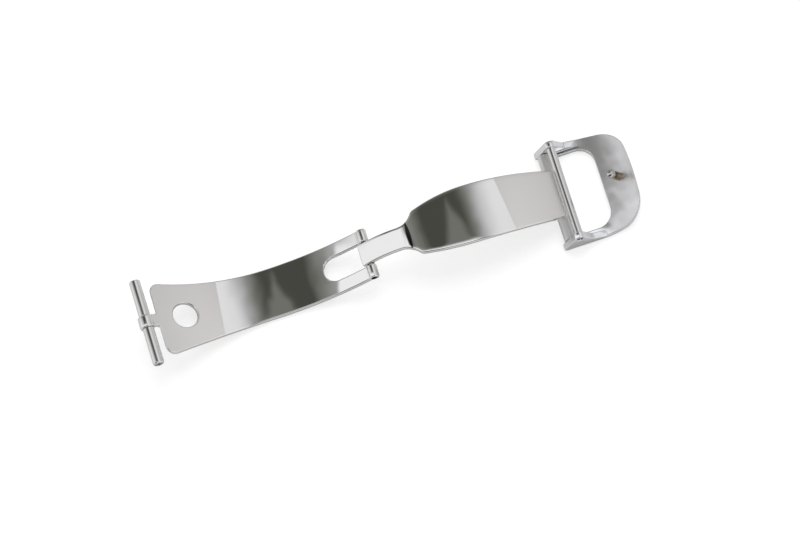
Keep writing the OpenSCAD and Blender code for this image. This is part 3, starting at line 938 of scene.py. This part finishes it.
@dataclass
class Buckle:
    """Cast frame with its strap bar, screws and the ball-headed stud.

    The strap bar is placed from the pivot. The shank is given by its depth and radius, and the
    collar, waist and ball by their heights over the dish.
    """

    edge: float = 0.18
    bar_out: tuple[float, float] = (1.71, 2.19)
    bar_r: float = 0.75
    bar_half: float = 8.14
    bar_chamfer: float = 0.08
    stud_rim: float = 0.09
    shank: tuple[float, float] = (1.0, 0.5)
    collar_start: float = 0.02
    collar_r: float = 0.75
    collar_h: float = 1.33
    waist_r: float = 0.45
    waist_end: float = 1.9
    ball_r: float = 0.85
    ball_steps: int = 39

    def build(self, nodes: dict[str, bpy.types.Object]) -> None:
        """Builds the frame, the bar and the stud."""
        x, z, r = DISH_FACE.x, DISH_FACE.y, DISH_FACE.r
        faces = (Cylinder(x, z, r, False), Cylinder(x, z, r + WALL))
        cast = Casting("buckle_frame", "frame", self.edge, faces).build(nodes)
        dress(cast, BUCKLE_SATIN, "buckle")
        profile = bar_profile(self.bar_half, self.bar_r, self.bar_chamfer)
        axis = Axis(on_middle(np.add(LIE.pivot, self.bar_out)))
        bar = turned_piece("strap_bar_turned", profile, axis)
        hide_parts("strap_bar")
        dress(bar, BAR_POLISH, "buckle")
        self.build_stud()
        dress_node(nodes["pivot_pin"], PIN_STEEL)
        # the bar screws carry the painted shade of their counterbores
        for name in ("bar_screw_front", "bar_screw_rear"):
            dress_node(nodes[name], SCREW_RECESS_SHADE)

    def build_stud(self) -> None:
        """Turns the stud: shank, collar, waist and ball, square to the dish."""
        neck = math.asin(self.waist_r / self.ball_r)
        t = np.linspace(math.pi - neck, 0.0, self.ball_steps + 1)
        ball = np.stack([BALL_AT + self.ball_r * np.cos(t), self.ball_r * np.sin(t)], -1)
        ball[-1, 1] = 0.0
        depth, shank_r = self.shank
        body = np.array(
            [
                [-depth, 0.0],
                [-depth, shank_r],
                [0.0, shank_r],
                [self.collar_start, self.collar_r],
                [self.collar_h, self.collar_r],
                [self.collar_h, self.waist_r],
                [self.waist_end, self.waist_r],
            ]
        )
        profile = np.vstack([soften(body, self.stud_rim), ball])
        sine, cosine = math.sin(STUD_LEAN), math.cos(STUD_LEAN)
        axis = Axis(on_middle(STUD_FOOT), (-sine, 0.0, cosine), (cosine, 0.0, sine))
        stud = turned_piece("stud", profile, axis, steps=64)
        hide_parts("strap_stud")
        dress(stud, STUD_POLISH, "buckle")


# ---------------------------------------------------------------- studio


@dataclass
class Studio:
    """White table, soft light, the surroundings that the metal reflects, and the camera.

    Each pair from left to far is where a card or a shade of the room starts and where it is
    full, on the X or the Y of the direction that the metal mirrors. The tinted pair is on the
    room's tone. The lamp is turned by its two angles round Z and away from straight down.
    """

    elevation_deg: float = 70.0
    swing_deg: float = 16.6
    px_per_mm: float = 5.81
    bar_px: tuple[float, float] = (146.5, 322.7)
    image_px: tuple[int, int] = (800, 533)
    distance: float = 1000.0
    sensor: float = 36.0
    clip_m: tuple[float, float] = (0.05, 10.0)
    waver_scale: float = 2.2
    waver: float = 0.08
    left: tuple[float, float] = (-0.35, -1.0)
    left_tone: float = 0.86
    right: tuple[float, float] = (0.0, 0.38)
    right_tone: float = 0.74
    outward: tuple[float, float] = (0.43, 0.95)
    outward_fall: float = 0.32
    gap_tone: float = 0.066
    gap_tint: Colour = (1.0, 1.01, 0.88)
    card_tint: Colour = (1.0, 1.0, 1.025)
    card_x: float = -0.07
    card_start: float = 0.40
    card_spread: float = 0.67
    card_edge: float = 0.04
    card_tone: float = 0.11
    front: tuple[float, float] = (0.175, 0.055)
    front_x: tuple[float, float] = (0.18, 0.04)
    front_tone: float = 0.93
    below: tuple[float, float] = (-0.37, -0.45)
    below_x: tuple[float, float] = (0.28, 0.16)
    below_ends: tuple[float, float] = (-0.96, -0.86)
    below_fall: float = 0.93
    far: tuple[float, float] = (0.45, 0.8)
    far_tone: float = 0.3
    table_tone: float = 0.56
    table_mirrored: float = 0.75
    table_glow: float = 0.62
    table_half_m: float = 1.5
    tinted: tuple[float, float] = (0.05, 0.4)
    ambient: float = 0.55
    lamp_power: float = 1.3
    lamp_size_deg: float = 50.0
    lamp_round_deg: float = 60.0
    lamp_down_deg: float = 38.0

    def camera(self) -> None:
        """Sets the camera as in the photograph, from the place of the strap end bar in it."""
        e, s = math.radians(self.elevation_deg), math.radians(self.swing_deg)
        axes = np.array(
            [
                [math.cos(s), -math.sin(s), 0.0],
                [math.sin(s) * math.sin(e), math.cos(s) * math.sin(e), math.cos(e)],
                [-math.sin(s) * math.cos(e), -math.cos(s) * math.cos(e), math.sin(e)],
            ]
        )
        right, up, back = axes @ LIE.turn().T
        width, height = self.image_px
        aim = np.array([-LIE.middle_x, 0.0, LIE.rise])
        aim = aim + right * (width / 2 - self.bar_px[0]) / self.px_per_mm
        aim = aim - up * (height / 2 - self.bar_px[1]) / self.px_per_mm
        data = bpy.data.cameras.new("camera")
        data.sensor_width = self.sensor
        data.lens = self.sensor * self.distance / (width / self.px_per_mm)
        data.clip_start, data.clip_end = self.clip_m
        camera = bpy.data.objects.new("camera", data)
        turn = Matrix(np.stack([right, up, back], 1).tolist()).to_4x4()
        camera.matrix_world = Matrix.Translation((aim + back * self.distance) * MM) @ turn
        bpy.context.scene.collection.objects.link(camera)
        bpy.context.scene.camera = camera

    def surroundings(self) -> None:
        """World that is white to the camera and a room of soft cards to the metal.

        Seen in the metal, the room goes from a lit left wall over a dark gap overhead to a
        lit right wall that fades outwards. A faint card hangs in the gap, wider towards the
        camera. A bright card stands towards the camera on the left, with darkness low under
        it, and the far side is dim.
        """
        world = bpy.data.worlds.new("studio")
        bpy.context.scene.world = world
        world.use_nodes = True
        n = Nodes(world.node_tree)
        way = n.add("ShaderNodeTexCoord").outputs["Generated"]
        x, y, _ = split(n, way)
        waver = n.madd(n.noise(way, self.waver_scale), self.waver, -self.waver / 2.0)
        x = n.calc("ADD", x, waver)
        tone = n.madd(n.step(x, *self.left, smooth=False), self.left_tone, self.gap_tone)
        tone = n.madd(n.step(x, *self.right), self.right_tone, tone)
        tone = n.madd(n.step(x, *self.outward, smooth=False), -self.outward_fall, tone)
        reach = n.madd(y, -self.card_spread, self.card_spread * self.card_start)
        off = n.calc("ABSOLUTE", n.calc("SUBTRACT", x, self.card_x))
        card = n.step(n.calc("SUBTRACT", off, reach), self.card_edge, -self.card_edge)
        tone = n.madd(card, self.card_tone, tone)
        front = n.all_of(n.step(y, *self.front), n.step(x, *self.front_x))
        tone = n.blend(front, tone, self.front_tone)
        below = n.all_of(
            n.step(y, *self.below), n.step(x, *self.below_x), n.step(y, *self.below_ends)
        )
        tone = n.calc("MULTIPLY", tone, n.madd(below, -self.below_fall, 1.0))
        tone = n.blend(n.step(y, *self.far), tone, self.far_tone)
        tint = n.mix(n.step(tone, *self.tinted), rgba(self.gap_tint), rgba(self.card_tint))
        path = n.add("ShaderNodeLightPath")
        seen = n.add("ShaderNodeBackground", rgba(WHITE), 1.0).outputs[0]
        mirrored = n.add("ShaderNodeBackground", tint, tone).outputs[0]
        ambient = n.add("ShaderNodeBackground", rgba(WHITE), self.ambient).outputs[0]
        is_glossy, is_camera = path.outputs["Is Glossy Ray"], path.outputs["Is Camera Ray"]
        room = n.add("ShaderNodeMixShader", is_glossy, ambient, mirrored).outputs[0]
        whole = n.add("ShaderNodeMixShader", is_camera, room, seen).outputs[0]
        n.add("ShaderNodeOutputWorld", whole)

    def table(self) -> None:
        """White table top that keeps the clasp's soft shadow, and is grey in the metal."""
        mesh = bpy.data.meshes.new("table")
        half = self.table_half_m
        corners = [(-half, -half, 0), (half, -half, 0), (half, half, 0), (-half, half, 0)]
        mesh.from_pydata(corners, [], [(0, 1, 2, 3)])
        table = bpy.data.objects.new("table", mesh)
        bpy.context.scene.collection.objects.link(table)
        material = bpy.data.materials.new("table_white")
        material.use_nodes = True
        n = Nodes(material.node_tree)
        path = n.add("ShaderNodeLightPath")
        tones = (rgba((tone,) * 3) for tone in (self.table_tone, self.table_mirrored))
        matte = n.add("ShaderNodeBsdfDiffuse", n.mix(path.outputs["Is Glossy Ray"], *tones))
        glow = n.calc("MULTIPLY", path.outputs["Is Camera Ray"], self.table_glow)
        light = n.add("ShaderNodeEmission", rgba(WHITE), glow)
        both = n.add("ShaderNodeAddShader", matte.outputs[0], light.outputs[0])
        n.add("ShaderNodeOutputMaterial", both.outputs[0])
        mesh.materials.append(material)

    def key(self) -> None:
        """Large soft lamp from behind on the right, which only matte surfaces show."""
        data = bpy.data.lights.new("key", "SUN")
        data.energy, data.angle = self.lamp_power, math.radians(self.lamp_size_deg)
        lamp = bpy.data.objects.new("key", data)
        turn = Matrix.Rotation(math.radians(self.lamp_round_deg), 4, "Z")
        lamp.matrix_world = turn @ Matrix.Rotation(math.radians(self.lamp_down_deg), 4, "Y")
        lamp.visible_glossy = False
        bpy.context.scene.collection.objects.link(lamp)

    def build(self) -> None:
        """Sets up everything round the clasp."""
        bpy.context.scene.view_settings.view_transform = "Standard"
        self.camera()
        self.surroundings()
        self.table()
        self.key()


def main() -> None:
    """Builds the clasp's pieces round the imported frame, then the studio."""
    logging.basicConfig(level=logging.INFO, format="%(message)s")
    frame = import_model()
    for part in (OuterBlade(), InnerBlade(), StrapEndBar(), Buckle()):
        part.build(frame["nodes"])
    Studio().build()
    bpy.context.view_layer.update()


if __name__ == "__main__":
    main()
